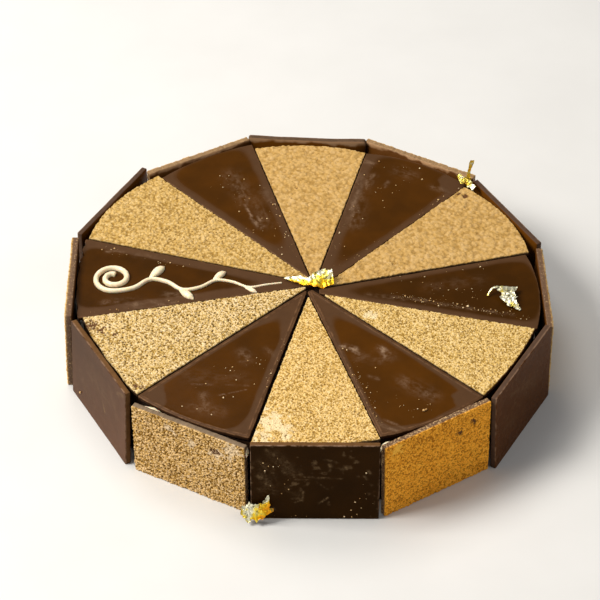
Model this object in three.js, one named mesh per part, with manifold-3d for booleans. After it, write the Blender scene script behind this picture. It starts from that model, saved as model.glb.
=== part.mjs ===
// A round opera cake. A low solid cake is dressed in thin chocolate: twelve wedges on
// top and twelve upright panels round the side. Shiny dark chocolate takes turns with
// chocolate under a coat of cocoa crumbs, and where a wedge is crumbed its panel is
// plain. Four scraps of gold leaf and a piped white chocolate vine finish it.
//
// Millimetres, +Z up. The origin is the centre of the base. Places round the cake are
// named by the clock: twelve o'clock is +Y, three is +X, six is -Y, the front.

import * as THREE from 'three';
import Module from 'manifold-3d';
import { mergeVertices } from 'three/addons/utils/BufferGeometryUtils.js';

const HOURS = 12;
const HOUR_STEP = (2 * Math.PI) / HOURS;
const CLEARANCE = 0.3; // between pieces that touch

// The cake inside: seen only through the slits between its chocolate pieces.
const CAKE = { radius: 117.5, height: 41.3, facets: 72 };

// The wedges on top. Their points meet a little in front of the cake's centre.
const WEDGE = { thickness: 2.2, rimSteps: 8, edgeRound: 0.35 };
const MEETING_POINT = new THREE.Vector2(-1.1, -4.5);
const WEDGE_BASE = CAKE.height + CLEARANCE;

// The upright panels. The apothem is measured to their outer faces.
const PANEL = { width: 62.4, height: 46.2, thickness: 3, apothem: 124, edgeRound: 0.35 };

// The crumb coat, in lumps of about this pitch. It stands on its chocolate by its depth.
const COAT = { depth: 0.6, lump: 0.45, pitch: 5.2 };

// Each wedge was cut and laid by hand. Its cut is the line that it shares with the wedge
// before it: "angle" is the line's direction, in degrees from +X, "pass" is how far it
// passes the meeting point on the anticlockwise side, and "gap" is the open width along
// it. "tip" is how far the wedge's point is cut back, and "rim" is how far its outer
// edge lies from the cake's centre: at its cut, half way along, and at the next cut.
const WEDGES = [
  { hour: 1, angle: 75.5, pass: -2.8, gap: 0.5, tip: 9, rim: [116.5, 119.5, 119.5] },
  { hour: 2, angle: 47, pass: -3.9, gap: 0.5, tip: 0.8, rim: [117.5, 119.5, 118.5] },
  { hour: 3, angle: 14.5, pass: -0.3, gap: 1, tip: 6.5, rim: [116.5, 119, 120.5] },
  { hour: 4, angle: -14, pass: -1, gap: 0.6, tip: 0.8, rim: [119.5, 118.5, 120] },
  { hour: 5, angle: -44, pass: 2.8, gap: 0.8, tip: 6, rim: [120.5, 119.5, 118] },
  { hour: 6, angle: -72, pass: -0.2, gap: 0.7, tip: 0.8, rim: [120, 119, 121] },
  { hour: 7, angle: -104.5, pass: 1.2, gap: 1.7, tip: 2, rim: [117.5, 117.5, 119] },
  { hour: 8, angle: -136, pass: -0.8, gap: 0.8, tip: 0.8, rim: [118.5, 115.5, 118] },
  { hour: 9, angle: -168, pass: -2.7, gap: 0.8, tip: 2.2, rim: [120.5, 120, 123.4] },
  { hour: 10, angle: 163, pass: -6.2, gap: 0.6, tip: 0.8, rim: [122, 124, 122.5] },
  { hour: 11, angle: 133.5, pass: -7.6, gap: 0.5, tip: 2.2, rim: [120, 122, 124] },
  { hour: 12, angle: 105.5, pass: -4.6, gap: 0.5, tip: 4, rim: [119.5, 118.5, 116.5] },
];

// Each panel was cut and leant against the cake by hand. "out" moves it away from the
// centre, "slip" moves it anticlockwise along its side, "wide" makes it wider and "rise"
// makes it taller, in millimetres. "turn" is anticlockwise and "lean" tips its top
// outwards, in degrees.
const PANELS = [
  { hour: 1, out: 0.5, slip: -0.3, wide: 4.6, rise: -1, turn: 0, lean: -0.5 },
  { hour: 2, out: 0, slip: -1.5, wide: 0, rise: -1.5, turn: -0.5, lean: -1 },
  { hour: 3, out: 0, slip: -2, wide: 0, rise: -2, turn: 1, lean: -0.5 },
  { hour: 4, out: 2, slip: -1, wide: 0, rise: 0.5, turn: 0.5, lean: -2.5 },
  { hour: 5, out: 0.9, slip: 1, wide: 0, rise: -1, turn: 2.5, lean: -1.5 },
  { hour: 6, out: 1.5, slip: 2.8, wide: 0, rise: 2, turn: -0.5, lean: -1.5 },
  { hour: 7, out: -2.5, slip: 1.9, wide: 1, rise: -2.8, turn: 1.6, lean: 0.5 },
  { hour: 8, out: -1, slip: -1, wide: 0, rise: 1, turn: -1, lean: -2.5 },
  { hour: 9, out: 1.5, slip: -2.4, wide: 0.8, rise: 1.5, turn: 0.5, lean: -1.5 },
  { hour: 10, out: 3, slip: -7.2, wide: 3, rise: -1.5, turn: 1, lean: 0.5 },
  { hour: 11, out: 1.5, slip: -1.9, wide: 0, rise: -1, turn: 0, lean: 0.5 },
  { hour: 12, out: 0.6, slip: 0.5, wide: 1.5, rise: -0.5, turn: -3.5, lean: -1 },
];

// A scrap of gold leaf is one or two thin crumpled lobes. A lobe follows a spine of
// [x, y, z] points with a half width at each, and its bank is the angle from lying flat.
const LEAF = { thickness: 0.35, crumple: 0.45, stations: 12, cells: 4 };
const LEAVES = [
  {
    name: 'gold_leaf_centre',
    lobes: [{
      spine: [[-12.8, 3.4, 45.6], [-7, 2.4, 45.8], [0.7, 0, 46.3], [7, 1, 47.4], [12.6, 1.4, 48]],
      halfWidth: [0.6, 1.9, 3, 4.8, 4.8],
      bank: [0, 10, 22, 32, 38],
    }],
  },
  {
    name: 'gold_leaf_right',
    lobes: [
      {
        spine: [[101.6, -5.6, 47.6], [102, -11.5, 47], [103.2, -15.6, 46.2], [105.8, -18.6, 45.6], [107.8, -20.8, 45]],
        halfWidth: [4.7, 4, 2.8, 1.8, 0.4],
        bank: [-8, 0, 6, 10, 10],
      },
      {
        spine: [[100.4, -8.4, 45.9], [98, -6.8, 47.8], [95.4, -6.3, 47.6], [93.4, -7.2, 46.4], [91.8, -9.7, 45]],
        halfWidth: [1.2, 0.9, 0.6, 0.5, 0.4],
        bank: [0, 0, 0, 0, 0],
      },
    ],
  },
  {
    name: 'gold_leaf_rear',
    lobes: [
      {
        spine: [[81.4, 87.2, 48.2], [83.4, 83.6, 47.4], [85.8, 82, 47.6], [87.5, 80, 47], [89.6, 77.8, 46.3]],
        halfWidth: [1.8, 3, 1.8, 2, 1.2],
        bank: [40, 44, 42, 40, 38],
      },
      {
        spine: [[86.6, 82.6, 46.8], [87, 84.6, 52], [88.6, 85.6, 59]],
        halfWidth: [1.4, 0.8, 0.9],
        bank: [0, 0, 0],
      },
    ],
  },
  {
    name: 'gold_leaf_front',
    lobes: [
      {
        spine: [[-33.2, -126, 7], [-29, -127.8, 7], [-23.5, -128.2, 8], [-17.4, -127.6, 8.2]],
        halfWidth: [2.6, 4.7, 3.9, 0.8],
        bank: [60, 66, 70, 70],
      },
      {
        spine: [[-21.4, -128, 9], [-20.8, -128, 13.8], [-19.8, -127.6, 18.4]],
        halfWidth: [2.6, 1.6, 0.4],
        bank: [0, 0, 0],
      },
    ],
  },
];

// The piped vine on the nine o'clock wedge: a coil, then a waving stem that thins to a
// point, with a leaf on the outside of each bend. "thick" and "thin" are the stem's width
// at its ends, and "stemRise" and "leafRise" are heights for each unit of half width.
const VINE = { step: 2.4, stemRise: 1.2, leafRise: 0.8, thick: 3.1, thin: 1.1 };
// Half of a piped line's section, in half widths across and shares of the height up.
const PIPED_SIDE = [[1, 0], [0.92, 0.5], [0.62, 0.85]];
const COIL = { x: -101, y: 4.5, inner: 3, outer: 10.6, turns: 1.6, end: -70, points: 20 };
const STEM = [[-90, -3.2], [-82, 3.6], [-73, 1.5], [-65, -4.6], [-56, -2.6], [-48, 3], [-39, 1.6],
  [-31, -2.4], [-22, -0.4], [-13.8, 1.2]];
// A vine leaf swells from its stalk to its middle, which lies nearer the stalk.
const VINE_LEAF = { stalk: 0.35, skew: 1.3, fullness: 0.8 };
const VINE_LEAVES = [
  { from: [-83, 4], to: [-75, 14.5], halfWidth: 2.6 },
  { from: [-67, -4], to: [-59, -12], halfWidth: 2.3 },
  { from: [-50, 2.6], to: [-43, 10.4], halfWidth: 2.1 },
  { from: [-33, -2.4], to: [-26.5, -6.6], halfWidth: 1.5 },
];

const MATERIALS = {
  cake: new THREE.MeshStandardMaterial({ color: 0x2a1710, roughness: 0.8, metalness: 0 }),
  dark: new THREE.MeshStandardMaterial({ color: 0x4a2a14, roughness: 0.25, metalness: 0 }),
  crumbed: new THREE.MeshStandardMaterial({ color: 0xc99a58, roughness: 0.95, metalness: 0 }),
  gold: new THREE.MeshStandardMaterial({ color: 0xe8b93c, roughness: 0.25, metalness: 1 }),
  white: new THREE.MeshStandardMaterial({ color: 0xf3e3bd, roughness: 0.3, metalness: 0 }),
};

const wasm = await Module();
wasm.setup();

function clockAngle(hour) {
  return Math.PI / 2 - hour * HOUR_STEP;
}

function degrees(value) {
  return THREE.MathUtils.degToRad(value);
}

function seededRandom(seed) {
  let state = seed;
  return () => {
    state = (state * 1664525 + 1013904223) % 4294967296;
    return state / 4294967296;
  };
}

function named(hour, kind, finish) {
  return `${kind}_${finish}_${String(hour).padStart(2, '0')}`;
}

// A closed mesh from its vertices, [x, y, z], and its triangles.
function meshGeometry(vertices, triangles) {
  const geometry = new THREE.BufferGeometry();
  geometry.setAttribute('position', new THREE.Float32BufferAttribute(vertices.flat(), 3));
  geometry.setIndex(triangles.flat());
  return geometry;
}

// A slab on a grid of columns and rows of [x, y] points that run anticlockwise from the
// first column's first point. Its flat face is at z = 0, and the other at liftAt(i, j).
function reliefSlab(grid, liftAt) {
  const columns = grid.length - 1;
  const rows = grid[0].length - 1;
  const vertices = [];
  const top = grid.map((column, i) => column.map(([x, y], j) => {
    vertices.push([x, y, liftAt(i, j)]);
    return vertices.length - 1;
  }));
  const rim = [];
  for (let i = 0; i < columns; i += 1) {
    rim.push([i, 0]);
  }
  for (let j = 0; j < rows; j += 1) {
    rim.push([columns, j]);
  }
  for (let i = columns; i > 0; i -= 1) {
    rim.push([i, rows]);
  }
  for (let j = rows; j > 0; j -= 1) {
    rim.push([0, j]);
  }
  const foot = rim.map(([i, j]) => {
    vertices.push([grid[i][j][0], grid[i][j][1], 0]);
    return vertices.length - 1;
  });
  const footCentre = rim.reduce(([x, y], [i, j]) => [x + grid[i][j][0], y + grid[i][j][1]], [0, 0]);
  vertices.push([footCentre[0] / rim.length, footCentre[1] / rim.length, 0]);
  const hub = vertices.length - 1;
  const triangles = [];
  for (let i = 0; i < columns; i += 1) {
    for (let j = 0; j < rows; j += 1) {
      triangles.push([top[i][j], top[i + 1][j], top[i + 1][j + 1]]);
      triangles.push([top[i][j], top[i + 1][j + 1], top[i][j + 1]]);
    }
  }
  rim.forEach(([i, j], k) => {
    const next = (k + 1) % rim.length;
    const edgeTop = top[i][j];
    const nextTop = top[rim[next][0]][rim[next][1]];
    triangles.push([foot[k], foot[next], nextTop]);
    triangles.push([foot[k], nextTop, edgeTop]);
    triangles.push([hub, foot[next], foot[k]]);
  });
  return meshGeometry(vertices, triangles);
}

// A flat plate from its outline, anticlockwise, with its top and bottom edges eased.
function easedPlate(outline, thickness, ease) {
  const shape = new THREE.Shape(outline.map(([x, y]) => new THREE.Vector2(x, y)));
  const geometry = new THREE.ExtrudeGeometry(shape, {
    depth: thickness - 2 * ease,
    bevelEnabled: true,
    bevelThickness: ease,
    bevelSize: ease,
    bevelOffset: -ease,
    bevelSegments: 1,
  });
  return geometry.translate(0, 0, ease);
}

function makeCake() {
  const geometry = new THREE.CylinderGeometry(CAKE.radius, CAKE.radius, CAKE.height, CAKE.facets);
  geometry.rotateX(Math.PI / 2).translate(0, 0, CAKE.height / 2);
  const mesh = new THREE.Mesh(geometry, MATERIALS.cake);
  mesh.name = 'cake_body';
  return mesh;
}

// The point on a ray from "start" that lies "radius" away from the cake's centre.
function reach(start, direction, radius) {
  const along = start.dot(direction);
  const run = -along + Math.sqrt(along * along - start.lengthSq() + radius * radius);
  return start.clone().addScaledVector(direction, run);
}

function heading(angle) {
  return new THREE.Vector2(Math.cos(angle), Math.sin(angle));
}

// One wedge's corners: its apex, where its two cuts would cross, and its outer edge from
// the later cut to the earlier one, which is anticlockwise.
function wedgeSpan(index) {
  const own = WEDGES[index];
  const next = WEDGES[(index + 1) % HOURS];
  const first = degrees(own.angle);
  const spread = THREE.MathUtils.euclideanModulo(first - degrees(next.angle), 2 * Math.PI);
  const inside = own.gap / 2 - own.pass;
  const nextInside = next.gap / 2 + next.pass;
  const apex = MEETING_POINT.clone();
  apex.addScaledVector(heading(first), nextInside / Math.sin(spread));
  apex.addScaledVector(heading(first - spread), inside / Math.sin(spread));
  const [start, half, end] = own.rim;
  const edge = [];
  for (let step = 0; step <= WEDGE.rimSteps; step += 1) {
    const t = 1 - step / WEDGE.rimSteps; // 0 at the earlier cut, 1 at the later one
    const radius = start + t * (4 * half - 3 * start - end) + 2 * t * t * (start + end - 2 * half);
    edge.push(reach(apex, heading(first - spread * t), radius));
  }
  return { apex, edge, tip: own.tip };
}

function darkWedge(index) {
  const { apex, edge, tip } = wedgeSpan(index);
  const cut = (corner) => apex.clone().lerp(corner, tip / corner.distanceTo(apex));
  const outline = [cut(edge[0]), ...edge, cut(edge[edge.length - 1])];
  return easedPlate(outline.map(({ x, y }) => [x, y]), WEDGE.thickness, WEDGE.edgeRound);
}

function crumbedWedge(index) {
  const { apex, edge, tip } = wedgeSpan(index);
  const random = seededRandom(WEDGES[index].hour);
  const length = edge[0].distanceTo(apex);
  const steps = Math.round(length / COAT.pitch);
  const start = tip / length;
  const shareAt = (i) => start + (1 - start) * (i / steps);
  const grid = Array.from({ length: steps + 1 }, (_, i) => (
    edge.map((corner) => apex.clone().lerp(corner, shareAt(i)).toArray())
  ));
  const lift = (i) => WEDGE.thickness + COAT.depth + shareAt(i) * COAT.lump * (random() - 0.5);
  return reliefSlab(grid, lift);
}

function makeWedge(index) {
  const { hour } = WEDGES[index];
  const crumbed = hour % 2 === 0;
  const finish = crumbed ? 'crumbed' : 'dark';
  const geometry = crumbed ? crumbedWedge(index) : darkWedge(index);
  const mesh = new THREE.Mesh(geometry, MATERIALS[finish]);
  mesh.name = named(hour, 'wedge', finish);
  mesh.position.z = WEDGE_BASE;
  return mesh;
}

function darkPanel(width, height) {
  const half = width / 2;
  const outline = [[-half, 0], [half, 0], [half, height], [-half, height]];
  return easedPlate(outline, PANEL.thickness, PANEL.edgeRound);
}

function crumbedPanel(width, height, seed) {
  const random = seededRandom(seed);
  const columns = Math.round(width / COAT.pitch);
  const rows = Math.round(height / COAT.pitch);
  const grid = [];
  for (let i = 0; i <= columns; i += 1) {
    const x = width * (i / columns - 0.5);
    grid.push(Array.from({ length: rows + 1 }, (_, j) => [x, height * (j / rows)]));
  }
  const lift = () => PANEL.thickness + COAT.depth + COAT.lump * (random() - 0.5);
  return reliefSlab(grid, lift);
}

// A panel is made lying down, with its outer face up and its top edge towards +Y. It is
// then stood up, leant, turned, pushed out to its side and carried round the cake.
function makePanel({ hour, out, slip, wide, rise, turn, lean }) {
  const crumbed = hour % 2 === 1;
  const finish = crumbed ? 'crumbed' : 'dark';
  const width = PANEL.width + wide;
  const height = PANEL.height + rise;
  const geometry = crumbed ? crumbedPanel(width, height, HOURS + hour) : darkPanel(width, height);
  const depth = crumbed ? PANEL.thickness + COAT.depth : PANEL.thickness;
  geometry.rotateX(Math.PI / 2).translate(0, depth / 2, 0);
  geometry.rotateX(degrees(lean));
  geometry.computeBoundingBox();
  geometry.translate(0, 0, -geometry.boundingBox.min.z);
  const mesh = new THREE.Mesh(geometry, MATERIALS[finish]);
  mesh.name = named(hour, 'panel', finish);
  mesh.rotation.z = degrees(turn);
  mesh.position.set(slip, depth / 2 - PANEL.apothem - out, 0);
  const side = new THREE.Group();
  side.rotation.z = clockAngle(hour) + Math.PI / 2;
  side.add(mesh);
  return side;
}

// A closed tube over rings of [x, y, z] points, all with as many points and all
// anticlockwise when seen against the direction of travel.
function ringTube(rings) {
  const count = rings[0].length;
  const triangles = [];
  for (let r = 0; r + 1 < rings.length; r += 1) {
    for (let k = 0; k < count; k += 1) {
      const near = r * count + k;
      const nearNext = r * count + ((k + 1) % count);
      triangles.push([near, nearNext, nearNext + count]);
      triangles.push([near, nearNext + count, near + count]);
    }
  }
  const last = (rings.length - 1) * count;
  for (let k = 1; k + 1 < count; k += 1) {
    triangles.push([0, k + 1, k]);
    triangles.push([last, last + k, last + k + 1]);
  }
  return meshGeometry(rings.flat(), triangles);
}

// Joins closed geometries into one body.
function fuse(geometries) {
  const solids = geometries.map((geometry) => {
    const bare = geometry.clone();
    Object.keys(bare.attributes).filter((key) => key !== 'position').forEach((key) => {
      bare.deleteAttribute(key);
    });
    const merged = mergeVertices(bare);
    return new wasm.Manifold(new wasm.Mesh({
      numProp: 3,
      vertProperties: new Float32Array(merged.attributes.position.array),
      triVerts: new Uint32Array(merged.index.array),
    }));
  });
  const { vertProperties, triVerts } = solids.reduce((whole, solid) => whole.add(solid)).getMesh();
  const geometry = new THREE.BufferGeometry();
  geometry.setAttribute('position', new THREE.BufferAttribute(vertProperties, 3));
  geometry.setIndex(new THREE.BufferAttribute(triVerts, 1));
  return geometry;
}

// The value at share t (0 to 1) of a list of numbers, read as an even, straight-line graph.
function along(values, t) {
  const place = t * (values.length - 1);
  const index = Math.min(Math.floor(place), values.length - 2);
  return THREE.MathUtils.lerp(values[index], values[index + 1], place - index);
}

// One lobe of gold leaf: a thin wavy sheet whose two faces are split alike.
function leafLobe({ spine, halfWidth, bank }, random) {
  const curve = new THREE.CatmullRomCurve3(spine.map((point) => new THREE.Vector3(...point)));
  const up = new THREE.Vector3(0, 0, 1);
  const rings = [];
  for (let i = 0; i <= LEAF.stations; i += 1) {
    const t = i / LEAF.stations;
    const centre = curve.getPointAt(t);
    const tangent = curve.getTangentAt(t);
    const level = Math.abs(tangent.z) > 0.8 ? new THREE.Vector3(1, 0, 0) : up.clone().cross(tangent);
    const across = level.normalize().applyAxisAngle(tangent, degrees(along(bank, t)));
    const normal = tangent.clone().cross(across).normalize();
    const front = [];
    const back = [];
    for (let j = 0; j <= LEAF.cells; j += 1) {
      const v = 2 * (j / LEAF.cells) - 1;
      const wave = LEAF.crumple * (2 * random() - 1);
      const point = centre.clone().addScaledVector(across, v * along(halfWidth, t));
      front.push(point.clone().addScaledVector(normal, wave + LEAF.thickness / 2).toArray());
      back.push(point.clone().addScaledVector(normal, wave - LEAF.thickness / 2).toArray());
    }
    rings.push([...back, ...front.reverse()]);
  }
  return ringTube(rings);
}

function makeLeaf({ name, lobes }, index) {
  const random = seededRandom(LEAVES.length + index);
  const sheets = lobes.map((lobe) => leafLobe(lobe, random));
  const mesh = new THREE.Mesh(sheets.length > 1 ? fuse(sheets) : sheets[0], MATERIALS.gold);
  mesh.name = name;
  return mesh;
}

// A piped line on a level surface: low and round above, flat below.
function pipedLine(points, halfWidthAt, rise) {
  const curve = new THREE.CatmullRomCurve3(points.map(([x, y]) => new THREE.Vector3(x, y, 0)));
  const steps = Math.ceil(curve.getLength() / VINE.step);
  const farSide = PIPED_SIDE.map(([side, share]) => [-side, share]).reverse();
  const section = [...PIPED_SIDE, [0, 1], ...farSide];
  const rings = [];
  for (let i = 0; i <= steps; i += 1) {
    const centre = curve.getPointAt(i / steps);
    const tangent = curve.getTangentAt(i / steps);
    const half = halfWidthAt(i / steps);
    rings.push(section.map(([side, share]) => (
      [centre.x - tangent.y * side * half, centre.y + tangent.x * side * half, share * half * rise]
    )));
  }
  return ringTube(rings);
}

function coilPoints() {
  const points = [];
  for (let i = 0; i <= COIL.points; i += 1) {
    const share = i / COIL.points;
    const angle = degrees(COIL.end - 360 * COIL.turns * (1 - share));
    const radius = THREE.MathUtils.lerp(COIL.inner, COIL.outer, share);
    points.push([COIL.x + radius * Math.cos(angle), COIL.y + radius * Math.sin(angle)]);
  }
  return points;
}

function vineLeaf({ from, to, halfWidth }) {
  const { stalk, skew, fullness } = VINE_LEAF;
  const swell = (t) => stalk + (halfWidth - stalk) * Math.sin(Math.PI * t ** skew) ** fullness;
  return pipedLine([from, to], swell, VINE.leafRise);
}

function makeVine() {
  const taper = (t) => THREE.MathUtils.lerp(VINE.thick, VINE.thin, t ** 2) / 2;
  const stem = pipedLine([...coilPoints(), ...STEM], taper, VINE.stemRise);
  const mesh = new THREE.Mesh(fuse([stem, ...VINE_LEAVES.map(vineLeaf)]), MATERIALS.white);
  mesh.name = 'piped_vine';
  mesh.position.z = WEDGE_BASE + WEDGE.thickness + CLEARANCE;
  return mesh;
}

export default (() => {
  const cake = new THREE.Group();
  cake.add(makeCake());
  WEDGES.forEach((_, index) => cake.add(makeWedge(index)));
  PANELS.forEach((panel) => cake.add(makePanel(panel)));
  LEAVES.forEach((leaf, index) => cake.add(makeLeaf(leaf, index)));
  cake.add(makeVine());
  return cake;
})();
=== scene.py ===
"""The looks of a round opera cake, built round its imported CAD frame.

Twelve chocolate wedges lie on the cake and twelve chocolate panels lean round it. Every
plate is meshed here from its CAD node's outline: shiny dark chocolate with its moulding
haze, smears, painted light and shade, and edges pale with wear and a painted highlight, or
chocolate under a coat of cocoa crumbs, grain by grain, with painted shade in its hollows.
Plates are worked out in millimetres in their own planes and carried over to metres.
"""

import itertools
import math

import bpy
import numpy as np
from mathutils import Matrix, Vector, geometry


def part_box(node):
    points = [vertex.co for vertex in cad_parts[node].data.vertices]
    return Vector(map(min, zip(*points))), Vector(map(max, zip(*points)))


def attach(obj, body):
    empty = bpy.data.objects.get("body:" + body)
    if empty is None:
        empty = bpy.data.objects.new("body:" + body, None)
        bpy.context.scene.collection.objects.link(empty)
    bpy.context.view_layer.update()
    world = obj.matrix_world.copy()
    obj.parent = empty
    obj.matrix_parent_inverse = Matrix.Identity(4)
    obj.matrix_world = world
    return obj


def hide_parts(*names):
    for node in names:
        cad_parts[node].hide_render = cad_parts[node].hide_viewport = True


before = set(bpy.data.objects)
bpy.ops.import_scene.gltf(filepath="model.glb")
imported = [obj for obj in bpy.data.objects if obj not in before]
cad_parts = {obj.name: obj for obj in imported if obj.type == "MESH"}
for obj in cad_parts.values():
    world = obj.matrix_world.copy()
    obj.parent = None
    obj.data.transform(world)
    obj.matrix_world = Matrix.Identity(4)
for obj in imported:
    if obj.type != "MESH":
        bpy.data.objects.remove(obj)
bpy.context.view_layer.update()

MM = 0.001
BODY = "root"

# Chocolate plates, in millimetres. The crumb coat is part of its CAD node's thickness.
CRUMB_COAT = 0.8
EDGE_ROUND = 0.4
CORNER_ROUND = 0.55
# How closely a dark face is meshed in its middle and in a band along its edges.
DARK_SPACING = 0.8
EDGE_BAND = 2.4
EDGE_SPACING = 0.4
CRUMB_EDGE_SPACING = 0.36
# How far the mesh points stray, as a share of their spacing, and keep from the rim.
JITTER = 0.2
RIM_GAP = 0.7
# Points of an outline nearer than this are one point, and a turn over this is a corner.
SAME_POINT = 0.05
SHARP_TURN = math.radians(30)


def table(fields, rows):
    """Rows of values, each turned into a dictionary of its named fields."""
    return {key: dict(zip(fields.split(), row)) for key, row in rows.items()}


# ---- noise ----

def lattice_random(i, j, seed):
    """A repeatable random number from 0 to 1 for each whole-number cell (i, j)."""
    with np.errstate(over="ignore"):
        h = i.astype(np.int64).astype(np.uint32) * np.uint32(374761393)
        h += j.astype(np.int64).astype(np.uint32) * np.uint32(668265263)
        h += np.uint32((seed * 2654435761 + 97) % 4294967296)
        for shift, factor in ((15, 2246822519), (13, 3266489917)):
            h ^= h >> np.uint32(shift)
            h *= np.uint32(factor)
        h ^= h >> np.uint32(16)
    return h.astype(float) / 4294967296


def smooth_noise(xy, pitch, seed):
    """Smooth random hills, 0 to 1, about one pitch apart."""
    place = xy / pitch
    cell = np.floor(place)
    f = place - cell
    u, v = (f * f * (3 - 2 * f)).T
    i, j = cell.T
    near, far = (
        lattice_random(i, row, seed) * (1 - u) + lattice_random(i + 1, row, seed) * u
        for row in (j, j + 1)
    )
    return near * (1 - v) + far * v


def cloud_noise(xy, pitch, seed, octaves=3):
    """Smooth noise with finer noise on it, 0 to 1."""
    total = np.zeros(len(xy))
    weights = 0
    for octave in range(octaves):
        weight = 0.5 ** octave
        total += weight * smooth_noise(xy, pitch * weight, seed + 31 * octave)
        weights += weight
    return total / weights


def grains(xy, pitch, seed, small=0.42, large=0.78):
    """A layer of round grains: the dome's height, 0 to 1, and the grain's own random tone."""
    place = xy / pitch
    cell = np.floor(place)
    height = np.zeros(len(xy))
    tone = np.full(len(xy), 0.5)
    for di in (-1, 0, 1):
        for dj in (-1, 0, 1):
            i, j = cell[:, 0] + di, cell[:, 1] + dj
            dx = i + lattice_random(i, j, seed) - place[:, 0]
            dy = j + lattice_random(i, j, seed + 1) - place[:, 1]
            radius = small + (large - small) * lattice_random(i, j, seed + 2)
            dome = np.sqrt(np.maximum(0, 1 - (dx * dx + dy * dy) / radius ** 2)) * radius / large
            higher = dome > height
            height = np.where(higher, dome, height)
            tone = np.where(higher, lattice_random(i, j, seed + 3), tone)
    return height, tone


def smooth_step(low, high, value):
    """0 below low, 1 above high, and a smooth rise between them."""
    t = np.clip((value - low) / (high - low), 0, 1)
    return t * t * (3 - 2 * t)


def unit(vectors):
    """Rows of vectors, each scaled to a length of 1."""
    return vectors / np.linalg.norm(vectors, axis=1)[:, None]


def evenly(values, t):
    """Values given at even steps along a line, at shares t of it."""
    return np.interp(t, np.linspace(0, 1, len(values)), values)


# ---- plates ----

def vertices(mesh):
    """A mesh's vertices, in metres."""
    flat = np.empty(len(mesh.vertices) * 3, np.float32)
    mesh.vertices.foreach_get("co", flat)
    return flat.reshape(-1, 3)


class Plate:
    """A wedge or panel: its outline in its own plane and the axes that place that plane.

    Across runs to the right and up runs upwards for who looks at a panel from outside.
    A wedge's plane is the world's own, so its marks are given as world x and y.
    """

    def __init__(self, node):
        self.node = node
        self.hour = int(node[-2:])
        self.upright = node.startswith("panel")
        points = vertices(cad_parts[node].data).astype(float) / MM
        self.axes = self.panel_axes(points) if self.upright else np.eye(3)
        local = points @ self.axes.T
        low, high = local.min(axis=0), local.max(axis=0)
        self.depth = high[2] - low[2] - (CRUMB_COAT if "_crumbed_" in node else 0)
        if self.upright:
            half, height = (high[0] - low[0]) / 2, high[1] - low[1]
            self.origin = np.array([low[0] + half, low[1], low[2]]) @ self.axes
            self.outline = np.array([[-half, 0], [half, 0], [half, height], [-half, height]])
        else:
            self.origin = np.array([0, 0, low[2]])
            hull = geometry.convex_hull_2d([Vector(p) for p in local[:, :2]])
            self.outline = without_repeats(local[hull, :2])
        self.seed = 100 * self.hour + (7 if self.upright else 0)

    @staticmethod
    def panel_axes(points):
        """Across, up and outwards for an upright plate's vertices."""
        centre = points.mean(axis=0)
        normal = np.linalg.svd(points - centre, full_matrices=False)[2][2]
        normal *= np.sign(normal[:2] @ centre[:2])
        across = np.cross([0, 0, 1], normal)
        across /= np.linalg.norm(across)
        return np.array([across, np.cross(normal, across), normal])

    def rows(self, marks):
        """The plate's own rows in a table of marks by node."""
        return marks.get(self.node, ())

    def world(self, local):
        """Local millimetres to world metres."""
        return (self.origin + local @ self.axes) * MM


def without_repeats(outline):
    """An anticlockwise outline without points that lie on one another."""
    kept = [p for p, q in zip(outline, np.roll(outline, -1, axis=0)) if np.hypot(*(q - p)) > SAME_POINT]
    outline = np.array(kept)
    x, y = outline.T
    area = np.sum(x * np.roll(y, -1) - y * np.roll(x, -1))
    return outline if area > 0 else outline[::-1]


def inset(outline, margin):
    """A convex outline with each edge moved inwards by a margin."""
    shape = outline
    for a, b in zip(outline, np.roll(outline, -1, axis=0)):
        along = (b - a) / np.hypot(*(b - a))
        inside = (shape - a) @ [-along[1], along[0]] - margin
        clipped = []
        for k in range(len(shape)):
            n = (k + 1) % len(shape)
            if inside[k] >= 0:
                clipped.append(shape[k])
            if (inside[k] >= 0) != (inside[n] >= 0):
                clipped.append(shape[k] + (shape[n] - shape[k]) * inside[k] / (inside[k] - inside[n]))
        shape = np.array(clipped)
    return without_repeats(shape)


def rounded(outline, radius, spacing, steps=6):
    """An outline's points at an even spacing, with arcs for corners.

    They come as points of the outline moved in by the radius, outward unit normals, and
    how far each point lies from a sharp corner.
    """
    core = inset(outline, radius)
    along = np.roll(core, -1, axis=0) - core
    heading = np.arctan2(-along[:, 0], along[:, 1])
    bases, angles, sharp = [], [], []
    for k, corner in enumerate(core):
        before = heading[k - 1]
        turn = (heading[k] - before) % (2 * math.pi)
        if turn > SHARP_TURN:
            sharp.append(corner)
        for t in np.linspace(0, 1, steps):
            bases.append(corner)
            angles.append(before + turn * t)
    bases.append(bases[0])
    angles.append(angles[0])
    bases = np.array(bases)
    normals = np.column_stack([np.cos(angles), np.sin(angles)])
    path = bases + normals * radius
    lengths = np.concatenate([[0], np.cumsum(np.hypot(*np.diff(path, axis=0).T))])
    stations = np.linspace(0, lengths[-1], round(lengths[-1] / spacing), endpoint=False)
    base, normal = (
        np.column_stack([np.interp(stations, lengths, column) for column in values.T])
        for values in (bases, normals)
    )
    room = np.min([np.hypot(*(base - corner).T) for corner in sharp], axis=0)
    return base, normal / np.hypot(*normal.T)[:, None], room


def edge_distances(outline, xy):
    """How far each point lies inside each edge's line, one column an edge."""
    along = np.roll(outline, -1, axis=0) - outline
    along /= np.hypot(*along.T)[:, None]
    inward = np.column_stack([-along[:, 1], along[:, 0]])
    return xy @ inward.T - np.sum(outline * inward, axis=1)


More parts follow.
